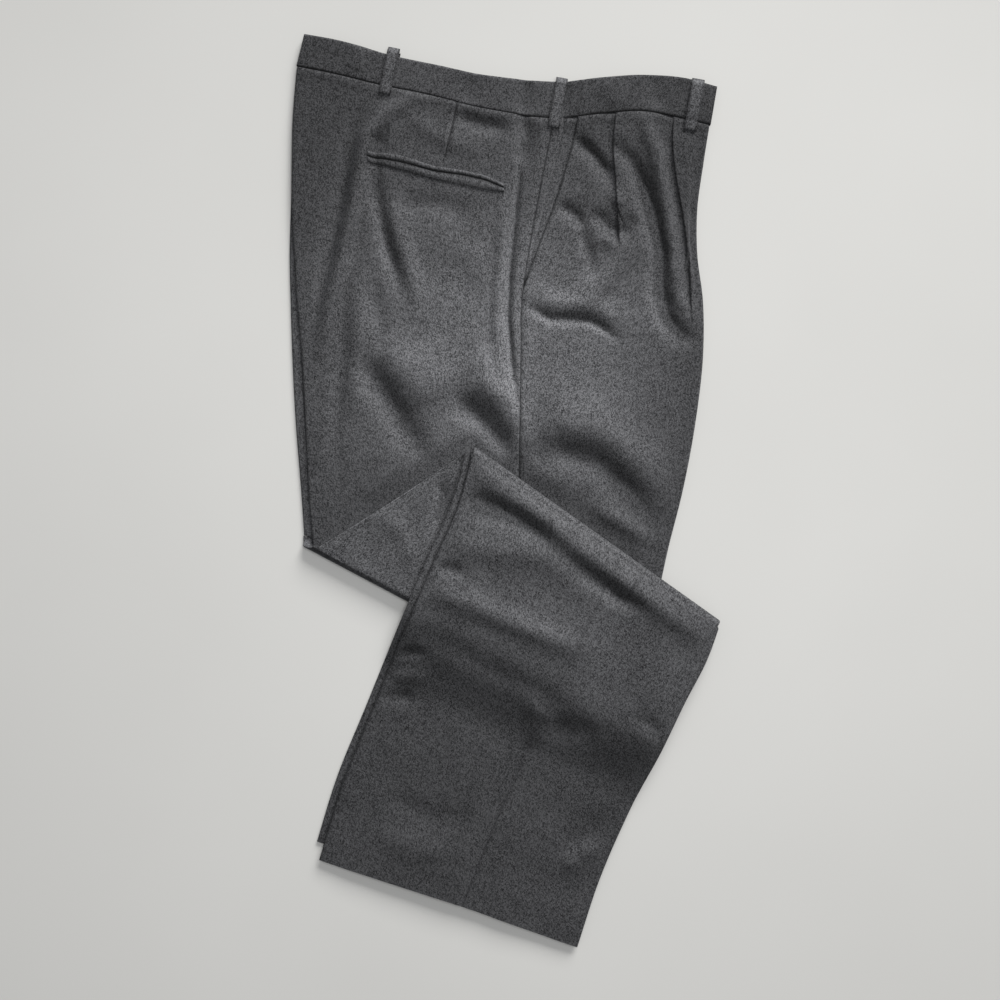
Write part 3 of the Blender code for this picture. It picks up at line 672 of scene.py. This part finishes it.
def fold_rows(fold, to_side, s_values, base, lip, count=19):
    """Round a fold: rows of (places along it), with the inward normal of each row."""
    ahead = unit(fold[0], fold[1])
    radius = ROLL - 0.5 * CLOTH
    steps = [(ROLL + reach, -radius, (0.0, 1.0)) for reach in np.linspace(lip, 1.0, 4)]
    for angle in np.linspace(-0.5 * pi, 0.5 * pi, count):
        steps.append((ROLL - radius * np.cos(angle), radius * np.sin(angle),
                      (np.cos(angle), -np.sin(angle))))
    found = []
    for inset, z, (flat, rise) in steps:
        x = fold[0, 0] + ahead[0] * s_values + to_side[0] * inset
        y = fold[0, 1] + ahead[1] * s_values + to_side[1] * inset
        row = np.column_stack([x, y, base(x, y) + ROLL + z])
        found.append((row, np.array((to_side[0] * flat, to_side[1] * flat, rise))))
    return found


def knee_z(x, y):
    clear = ease((inside(FOLD_1, x, y) - 4.0) / 16.0) * ease((inside(KNEE_BACK[::-1], x, y) - 1.0) / 8.0)
    worked = relief(KNEE_CREASES, x, y) + 0.5 * ripple(x, y, 60.0, 11)
    return STACK + OUTER_Z + worked * clear


def fold_1_cloth(material):
    ahead = unit(FOLD_1[0], FOLD_1[1])
    to_knee = np.array((-ahead[1], ahead[0]))
    length = np.linalg.norm(FOLD_1[1] - FOLD_1[0])
    seam_at = (12.5 - FOLD_1[0, 0]) / ahead[0]
    along = np.array((ahead[0], ahead[1], 0.0))
    rows = []
    for row, inward in fold_rows(FOLD_1, to_knee, mix(-7.0, seam_at - SEAM_GAP, np.linspace(0, 1, 60)),
                                 level_ground, FOLD_LIP):
        # underneath, the edge runs on from the thigh's back crease; on top it meets the knee's
        under = float(ease((10.0 - row[0, 2]) / 6.0))
        inset = float(inside(FOLD_1, row[0, 0], row[0, 1]))
        over = float(ease((row[0, 2] - 7.0) / 5.0))
        reach = (2.0 + 0.53 * inset) * under - 7.0 * over
        row = row - along * (reach * np.linspace(1.0, 0.0, len(row)))[:, None]
        edge = row[0] - 2.0 * along
        rows.append(turned_edge(edge, along, inward) + list(row))
    for t in np.linspace(0.03, 0.93, 70):
        left = mix(KNEE_BACK[0], KNEE_BACK[1], t)
        bow = 1.8 * np.sin(pi * t)
        across = unit(left, mix(np.array((-60.0, -118.0)), np.array((-12.0, 22.0)), t))
        left = left + across * bow
        right = mix(np.array((-40.0, -132.0)), np.array((-12.0, 22.0)), t)
        along_row = np.array((across[0], across[1], 0.0))
        xy = mix(left[None, :], right[None, :], np.linspace(0.02, 1.0, 60)[:, None])
        z = knee_z(xy[:, 0], xy[:, 1])
        edge = np.array((left[0], left[1], float(knee_z(left[0], left[1]))))
        rows.append(turned_edge(edge, along_row, DOWN) + list(np.column_stack([xy, z])))
    cloth("left_back_fold", rows, "left_back_fold", material,
          nap_and_painted_shade=knee_painted_shade, grain=unit(KNEE_BACK[0], KNEE_BACK[1]))
    rows = []
    for row, inward in fold_rows(FOLD_1, to_knee, mix(seam_at, length - 8.0, np.linspace(0, 1, 40)),
                                 level_ground, FOLD_LIP):
        rows.append(list(row))
    lean = unit(KNEE_BACK[0], KNEE_BACK[1])
    rows.append([point + np.array((lean[0], lean[1], 0.0)) * 10.0 for point in rows[-1]])
    cloth("left_front_fold", rows, "left_front_fold", material,
          nap_and_painted_shade=knee_painted_shade)


LOWER_SHARE = np.linspace(0.0, 1.0, len(LOWER))
CREASE_TO_SEAM = {"back": 178.0, "front": 120.0}


def lower_section(v):
    return [smooth_read(LOWER_SHARE, LOWER[:, column], v) for column in range(6)]


def lower_line(section, side, u, out=0.0):
    """Places across the back or the front panel of the lower leg, from its crease to the seam."""
    seam = np.array(section[2:4], float)
    edge = np.array(section[0:2] if side == "back" else section[4:6], float)
    towards = unit(edge, seam)
    start = edge - towards * out
    stop = seam - towards * 0.5 * SEAM_GAP
    xy = mix(start[None, :], stop[None, :], np.asarray(u, float)[:, None])
    return xy, np.array((towards[0], towards[1], 0.0))


def lower_top_z(x, y, across, v):
    """Middle of the right leg's outer cloth below fold 2; across is 0 at the back crease."""
    edge = ease(np.minimum(across, 1.0 - across) / 0.06)
    clear = ease(v / 0.04)
    worked = relief(LOWER_CREASES, x, y) + 0.5 * ripple(x, y, 75.0, 21) + 0.12 * ripple(x, y, 26.0, 23)
    fullness = 3.9 * np.sin(pi * np.clip(across, 0.0, 1.0)) ** 0.7
    return lower_base(x, y) + OUTER_Z + kept_above(worked * edge + fullness, -0.7) * clear


def right_lower(material):
    along_2 = unit(FOLD_2[0], FOLD_2[1])
    to_leg = np.array((along_2[1], -along_2[0]))
    u = eased_spread(64, 0.008, 1.0)
    u = np.concatenate([[0.0], u])
    first = lower_section(0.0)
    radius = ROLL - 0.5 * CLOTH
    steps = [(ROLL + reach, -radius, (0.0, 1.0)) for reach in np.linspace(14.0, 1.0, 5)]
    for angle in np.linspace(-0.5 * pi, 0.5 * pi, 19):
        steps.append((ROLL - radius * np.cos(angle), radius * np.sin(angle),
                      (np.cos(angle), -np.sin(angle))))
    for side, share in (("back", 0.6), ("front", 0.4)):
        rows = []
        for inset, z, (flat, rise) in steps:
            xy, towards = lower_line(first, side, u)
            x = xy[:, 0] + to_leg[0] * inset
            y = xy[:, 1] + to_leg[1] * inset
            row = np.column_stack([x, y, knee_base(x, y) + ROLL + z])
            inward = np.array((to_leg[0] * flat, to_leg[1] * flat, rise))
            rows.append(turned_edge(row[0], towards, inward, knee_base) + list(row[1:]))
        for v in np.linspace(0.032, 1.0, 150):
            xy, towards = lower_line(lower_section(v), side, u)
            x, y = xy[:, 0], xy[:, 1]
            across = u * share if side == "back" else 1.0 - u * share
            z = lower_top_z(x, y, across, v)
            from_seam = (1.0 - u) * CREASE_TO_SEAM[side]
            z = z + seam_groove(from_seam, depth=1.8, width=1.2) * ease(v / 0.05)
            row = np.column_stack([x, y, z])
            rows.append(turned_edge(row[0], towards, DOWN, lower_base) + list(row[1:]))
        cloth("right_%s_lower_leg" % side, rows, "right_%s_lower" % side, material,
              nap_and_painted_shade=lower_painted_shade)


def left_lower(material):
    for side in ("back", "front"):
        rows = []
        out = LEFT_LEG_OUT if side == "back" else -3.0
        for v in np.linspace(0.03, 1.0, 100):
            if side == "front" and v < 0.2:
                continue
            section = lower_section(min(v, 1.0) * (1.0 - LEFT_HEM_SHORT / LOWER_LENGTH))
            reach = mix(0.16, 1.0, float(np.clip((v - 0.44) / 0.13, 0.0, 1.0))) if side == "back" else 1.0
            u = np.concatenate([[0.0], eased_spread(34, 0.012, reach)])
            xy, towards = lower_line(section, side, u, out)
            row = np.column_stack([xy, lower_base(xy[:, 0], xy[:, 1]) + 0.5 * CLOTH])
            rows.append(turned_edge(row[0], towards, UP, lower_base) + list(row[1:]))
        cloth("left_%s_lower_leg" % side, rows, "left_%s_lower" % side, material,
              nap_and_painted_shade=lower_painted_shade)


def left_upper(material):
    for side, left, right, name in (("back", LEFT_BACK, SEAM, "left_back_upper"),
                                    ("front", SEAM, FRONT, "left_front_upper")):
        rows = []
        for t in np.linspace(0.0, 1.0, 90):
            if side == "back":
                u = eased_spread(50, 0.012, 1.0)
                x, y = panel_xy(u, t, left, right, fold_1_start, from_right=0.5 * SEAM_GAP)
                edge = panel_xy(0.0, t, left, right, fold_1_start)
                edge = (float(edge[0]), float(edge[1]) - 2.0 * (1.0 - t), 0.5 * CLOTH)
            else:
                u = eased_spread(40, 0.0, 0.975)
                x, y = panel_xy(u, t, left, right, fold_1_start, from_left=0.5 * SEAM_GAP)
                edge = panel_xy(1.0, t, left, right, fold_1_start)
                edge = (float(edge[0]) - 1.5, float(edge[1]) + 5.0 * t, 0.5 * CLOTH)
            flat = list(np.column_stack([x, y, np.full(len(x), 0.5 * CLOTH)]))
            if side == "back":
                rows.append(turned_edge(edge, X_IN, UP) + flat)
            else:
                rows.append(flat + turned_edge(edge, -X_IN, UP)[::-1])
        cloth("left_%s_panel" % side, rows, name, material)


def hem_layers(material):
    depth = HEM_DEPTH / LOWER_LENGTH
    layers = (("right_leg_inner_hem", 2.5 * LAYER - 0.2, 1.0),
              ("left_leg_inner_hem", LAYER + 0.5 * CLOTH, 1.0 - LEFT_HEM_SHORT / LOWER_LENGTH))
    for name, z, end in layers:
        rows = []
        for v in np.linspace(end - depth, end - 0.002, 16):
            section = lower_section(v)
            back = np.array(section[0:2], float)
            front = np.array(section[4:6], float)
            width = np.linalg.norm(front - back)
            share = np.linspace(TUCK + 1.5, width - TUCK - 4.0, 60) / width
            xy = mix(back[None, :], front[None, :], share[:, None])
            rows.append(np.column_stack([xy, np.full(len(xy), z)]))
        cloth(name, rows, name, material,
              nap_and_painted_shade=lower_painted_shade)


def hidden_layers(material):
    """The inner cloth of both legs, folded inside the outer panels, seen only edge on."""
    along_1 = unit(FOLD_1[0], FOLD_1[1])
    along_2 = unit(FOLD_2[0], FOLD_2[1])
    to_knee = np.array((-along_1[1], along_1[0]))
    to_leg = np.array((along_2[1], -along_2[0]))
    columns = np.linspace(0.06, 0.94, 40)
    middle = ROLL - 0.5 * STACK
    rows = []
    for t in np.linspace(0.03, 0.97, 50):
        x, y = panel_xy(columns, t, RIGHT_BACK, FRONT, fold_1_start)
        rows.append(np.column_stack([x, y, np.full(len(x), middle)]))

    def round_fold(fold, to_side, base):
        radius = 0.5 * STACK
        for angle in np.linspace(-0.5 * pi, 0.5 * pi, 11):
            xy = mix(fold[0][None, :], fold[1][None, :], columns[:, None])
            xy = xy + to_side[None, :] * (ROLL - radius * np.cos(angle))
            z = base(xy[:, 0], xy[:, 1]) + ROLL + radius * np.sin(angle)
            rows.append(np.column_stack([xy, z]))

    round_fold(FOLD_1, to_knee, level_ground)
    for v in np.linspace(0.1, 0.9, 24):
        along_1, along_2 = [mix(fold[0], fold[1], columns[:, None]) for fold in (FOLD_1, FOLD_2)]
        xy = mix(along_1, along_2, v)
        rows.append(np.column_stack([xy, knee_base(xy[:, 0], xy[:, 1]) + middle]))
    round_fold(FOLD_2, to_leg, knee_base)
    for v in np.linspace(0.05, 0.87, 50):
        section = lower_section(v)
        back, _ = lower_line(section, "back", np.linspace(0.1, 0.99, 22))
        front, _ = lower_line(section, "front", np.linspace(1.0, 0.2, 18))
        xy = np.concatenate([back, front])
        rows.append(np.column_stack([xy, lower_base(xy[:, 0], xy[:, 1]) + middle]))
    cloth("inner_leg_layers", rows, "hidden_layers", material, thickness=1.6)


# ---- Belt loops and pocket welts ----
LOOPS = [
    # place, lower end x y, upper end x y, width
    ("back", (-118.5, 393.0), (-109.5, 437.5), 11.5),
    ("side", (48.5, 359.5), (57.0, 407.5), 11.5),
    ("front", (184.0, 358.0), (192.5, 407.5), 12.5),
]


def strap_painted_shade(low, ahead, width):
    """Painted light and shade on a loop: light along its middle and dark along its turned edges."""
    def nap_and_painted_shade(x, y):
        off = np.abs((x - low[0]) * ahead[1] - (y - low[1]) * ahead[0]) / width
        return 0.60 - 0.34 * ease((off - 0.30) / 0.18)
    return nap_and_painted_shade


def belt_loops(material):
    for place, low, high, width in LOOPS:
        low, high = np.array(low), np.array(high)
        ahead = unit(low, high)
        side = np.array((ahead[1], -ahead[0]))
        shares = np.concatenate([np.linspace(0.0, 0.9, 30), np.linspace(0.915, 1.0, 10)])
        on_panel = float(thigh_z(*low)) + 2.1
        rows = []
        for t in shares:
            xy = mix(low, high, t)
            on_band = float(band_z(xy[0], xy[1])) + 0.5 * BAND + 0.5 * CLOTH + 0.9
            z = mix(on_panel, on_band + 0.5, float(ease((t - 0.05) / 0.22)))
            z = max(z, on_band) + 0.7 * np.sin(pi * t)
            z -= 2.6 * float(ease((t - 0.88) / 0.12)) ** 1.5
            across = np.linspace(-0.5, 0.5, 9)
            crown = 0.35 * (1.0 - (2.0 * across) ** 2)
            row = [np.array((*(xy + side * width * a), z + c)) for a, c in zip(across, crown)]
            rows.append(row)
        first = grid_of(rows[:1])[0]
        turned = [[point + np.array((*(ahead * back), -drop)) for point in first]
                  for back, drop in ((5.0, 1.3), (1.2, 1.3), (0.2, 1.05), (-0.3, 0.6), (-0.2, 0.2))]
        rows = turned + rows
        # the end is turned under at the waist edge
        last = grid_of(rows[-1:])[0]
        for back, drop in ((0.9, 0.7), (0.2, 1.5), (-2.6, 2.1)):
            rows.append([point + np.array((*(ahead * back), -drop)) for point in last])
        cloth("right_belt_loop_%s" % place, rows, "right_belt_loop_" + place, material,
              thickness=1.1, nap_and_painted_shade=strap_painted_shade(low, ahead, width))
        start = mix(low, high, 0.28)
        rows = []
        for t in np.linspace(0.0, 1.0, 20):
            xy = mix(start, high, t)
            rows.append([np.array((*(xy + side * width * a), 0.6)) for a in np.linspace(-0.5, 0.5, 7)])
        cloth("left_belt_loop_%s" % place, rows, "left_belt_loop_" + place, material,
              thickness=1.1)


# Back pocket: x, upper edge, slit, lower edge.
POCKET = np.array([
    (-135.5, 335.5, 330.5, 325.5),
    (-102.5, 331.0, 324.5, 317.0),
    (-69.5, 320.5, 315.5, 307.5),
    (-39.5, 315.5, 311.0, 301.5),
    (-18.5, 310.5, 306.0, 297.0),
    (-0.5, 302.0, 298.5, 294.5),
])


def pocket_welts(material):
    xs = np.linspace(POCKET[0, 0], POCKET[-1, 0], 90)
    upper, slit, lower = [smooth_read(POCKET[:, 0], POCKET[:, k], xs) for k in (1, 2, 3)]
    for name, high, low in (("upper", upper, slit + 0.45), ("lower", slit - 0.45, lower)):
        rows = []
        for t in np.linspace(0.0, 1.0, 13):
            y = mix(high, low, t)
            lift = 0.9 + 1.1 * np.sin(pi * mix(0.06, 0.94, t)) ** 0.6
            rows.append(np.column_stack([xs, y, thigh_z(xs, y) + lift]))
        cloth("back_pocket_%s_welt" % name, rows, "back_pocket_%s_welt" % name, material,
              thickness=0.9)


# ---- Materials ----
def flannel(name, dark, light):
    """Melange flannel: light and dark flecks, slubs, a faint twill and the painted shade from the cloth's
    attribute.
    """
    made = bpy.data.materials.new(name)
    made.use_nodes = True
    nodes, links = made.node_tree.nodes, made.node_tree.links
    shader = nodes["Principled BSDF"]
    shader.inputs["Roughness"].default_value = 0.92
    shader.inputs["Specular IOR Level"].default_value = 0.18
    shader.inputs["Sheen Weight"].default_value = 0.10
    shader.inputs["Sheen Roughness"].default_value = 0.45
    shader.inputs["Sheen Tint"].default_value = (0.72, 0.75, 0.82, 1.0)
    place = nodes.new("ShaderNodeUVMap")
    place.uv_map = "cloth"

    def mapped(scale, turn=0.0):
        node = nodes.new("ShaderNodeMapping")
        node.inputs["Scale"].default_value = scale
        node.inputs["Rotation"].default_value = (0.0, 0.0, turn)
        links.new(place.outputs["UV"], node.inputs["Vector"])
        return node.outputs["Vector"]

    def noise(vector, scale, detail, rough=0.6):
        node = nodes.new("ShaderNodeTexNoise")
        node.inputs["Scale"].default_value = scale
        node.inputs["Detail"].default_value = detail
        node.inputs["Roughness"].default_value = rough
        links.new(vector, node.inputs["Vector"])
        return node.outputs["Fac"]

    def ramp(value, stops):
        node = nodes.new("ShaderNodeValToRGB")
        while len(node.color_ramp.elements) < len(stops):
            node.color_ramp.elements.new(0.5)
        for element, (position, shade) in zip(node.color_ramp.elements, stops):
            element.position = position
            element.color = (shade, shade, shade, 1.0)
        links.new(value, node.inputs["Fac"])
        return node.outputs["Color"]

    def maths(kind, first, second):
        node = nodes.new("ShaderNodeMath")
        node.operation = kind
        for socket, value in zip(node.inputs, (first, second)):
            if isinstance(value, float):
                socket.default_value = value
            else:
                links.new(value, socket)
        return node.outputs[0]

    def both(first, second, stops):
        return maths("ADD", ramp(first, stops), ramp(second, stops))

    square = (1.0, 1.0, 1.0)
    cells = nodes.new("ShaderNodeTexVoronoi")
    cells.inputs["Scale"].default_value = 1250.0
    links.new(mapped((1.0, 0.7, 1.0)), cells.inputs["Vector"])
    chance = nodes.new("ShaderNodeSeparateColor")
    links.new(cells.outputs["Color"], chance.inputs["Color"])
    flecks = chance.outputs["Red"]
    slubs_along = noise(mapped((560.0, 40.0, 1.0)), 1.0, 2.0)
    slubs_across = noise(mapped((40.0, 560.0, 1.0)), 1.0, 2.0)
    threads_across = noise(mapped((260.0, 1500.0, 1.0)), 1.0, 2.0)
    threads_along = noise(mapped((1500.0, 240.0, 1.0)), 1.0, 2.0)
    clouds = noise(mapped(square), 14.0, 4.0)
    fleck_share = ramp(flecks, [(0.05, 0.0), (0.95, 1.0)])
    slubs = both(slubs_along, slubs_across, [(0.40, 0.0), (0.62, 1.0)])
    weave = both(threads_across, threads_along, [(0.35, 0.0), (0.65, 1.0)])
    threads = maths("ADD", maths("MULTIPLY", weave, 0.12), maths("MULTIPLY", slubs, 0.08))
    blend = maths("ADD", maths("MULTIPLY", fleck_share, 0.80), threads)
    cloudy = maths("ADD", blend, maths("MULTIPLY", maths("SUBTRACT", clouds, 0.5), 0.35))
    colour = nodes.new("ShaderNodeMix")
    colour.data_type = "RGBA"
    colour.inputs[6].default_value = dark
    colour.inputs[7].default_value = light
    links.new(cloudy, colour.inputs[0])
    # Painted shade: the cloth's attribute scales the base colour.
    painted_shade = nodes.new("ShaderNodeAttribute")
    painted_shade.attribute_name = "nap_and_painted_shade"
    shade = nodes.new("ShaderNodeVectorMath")
    shade.operation = "SCALE"
    links.new(colour.outputs[2], shade.inputs[0])
    links.new(painted_shade.outputs["Fac"], shade.inputs["Scale"])
    links.new(shade.outputs[0], shader.inputs["Base Color"])

    twill = nodes.new("ShaderNodeTexWave")
    twill.wave_type = "BANDS"
    twill.bands_direction = "X"
    twill.inputs["Scale"].default_value = 260.0
    twill.inputs["Distortion"].default_value = 3.0
    twill.inputs["Detail"].default_value = 2.0
    twill.inputs["Detail Scale"].default_value = 3.0
    links.new(mapped(square, radians(42.0)), twill.inputs["Vector"])
    # fine fibre nap, used in the bump only
    nap_and_painted_shade = noise(mapped(square), 900.0, 4.0, 0.7)
    height = maths("ADD", maths("MULTIPLY", twill.outputs["Fac"], 0.35),
                   maths("ADD", maths("MULTIPLY", nap_and_painted_shade, 0.5), maths("MULTIPLY", weave, 0.35)))
    bump = nodes.new("ShaderNodeBump")
    bump.inputs["Strength"].default_value = 0.55
    bump.inputs["Distance"].default_value = 0.0006
    links.new(height, bump.inputs["Height"])
    links.new(bump.outputs["Normal"], shader.inputs["Normal"])
    return made


def table_top():
    bpy.ops.object.select_all(action="DESELECT")
    bpy.ops.mesh.primitive_plane_add(size=6.0, location=(0.0, 0.0, -0.0002))
    floor = bpy.context.object
    floor.name = "floor"
    made = bpy.data.materials.new("pale_board")
    made.use_nodes = True
    nodes, links = made.node_tree.nodes, made.node_tree.links
    shader = nodes["Principled BSDF"]
    shader.inputs["Roughness"].default_value = 0.7
    place = nodes.new("ShaderNodeTexCoord")
    cloud = nodes.new("ShaderNodeTexNoise")
    cloud.inputs["Scale"].default_value = 2.2
    cloud.inputs["Detail"].default_value = 3.0
    links.new(place.outputs["Object"], cloud.inputs["Vector"])
    tone = nodes.new("ShaderNodeMix")
    tone.data_type = "RGBA"
    tone.inputs[6].default_value = (0.60, 0.595, 0.575, 1.0)
    tone.inputs[7].default_value = (0.68, 0.675, 0.655, 1.0)
    links.new(cloud.outputs["Fac"], tone.inputs[0])
    links.new(tone.outputs[2], shader.inputs["Base Color"])
    floor.data.materials.append(made)


def studio():
    bpy.context.scene.view_settings.view_transform = "Standard"
    world = bpy.data.worlds.new("studio")
    bpy.context.scene.world = world
    world.use_nodes = True
    world.node_tree.nodes["Background"].inputs["Color"].default_value = (0.97, 0.98, 1.0, 1.0)
    world.node_tree.nodes["Background"].inputs["Strength"].default_value = 0.24

    def softbox(name, place, target, size, power, colour):
        light = bpy.data.lights.new(name, "AREA")
        light.shape = "RECTANGLE"
        light.size, light.size_y = size
        light.energy = power
        light.color = colour
        lamp = bpy.data.objects.new(name, light)
        lamp.location = place
        lamp.rotation_euler = (Vector(target) - Vector(place)).to_track_quat("-Z", "Y").to_euler()
        bpy.context.scene.collection.objects.link(lamp)

    softbox("window", (3.9, 8.4, 4.4), (0.0, -0.1, 0.0), (6.5, 4.2), 1270.0, (1.0, 0.995, 0.98))
    softbox("overhead", (0.15, 0.1, 1.3), (0.12, 0.08, 0.0), (0.5, 0.5), 6.5, (0.98, 0.99, 1.0))


def camera():
    data = bpy.data.cameras.new("overhead")
    height = 1.10
    data.sensor_width = 36.0
    data.lens = data.sensor_width * height      # one metre across on the table
    made = bpy.data.objects.new("overhead", data)
    middle_x, middle_y = -0.0045, -0.0095
    made.location = (middle_x, middle_y, height)
    made.rotation_euler = (0.0, 0.0, 0.0)
    bpy.context.scene.collection.objects.link(made)
    bpy.context.scene.camera = made


camera()
studio()
table_top()
wool = flannel("wool_flannel", (0.003, 0.003, 0.004, 1.0), (0.228, 0.229, 0.240, 1.0))
waistbands(wool)
right_back_upper(wool)
right_front_upper(wool)
pocket_facing(wool)
pocket_welts(wool)
belt_loops(wool)
left_upper(wool)
fold_1_cloth(wool)
right_lower(wool)
left_lower(wool)
hem_layers(wool)
hidden_layers(wool)
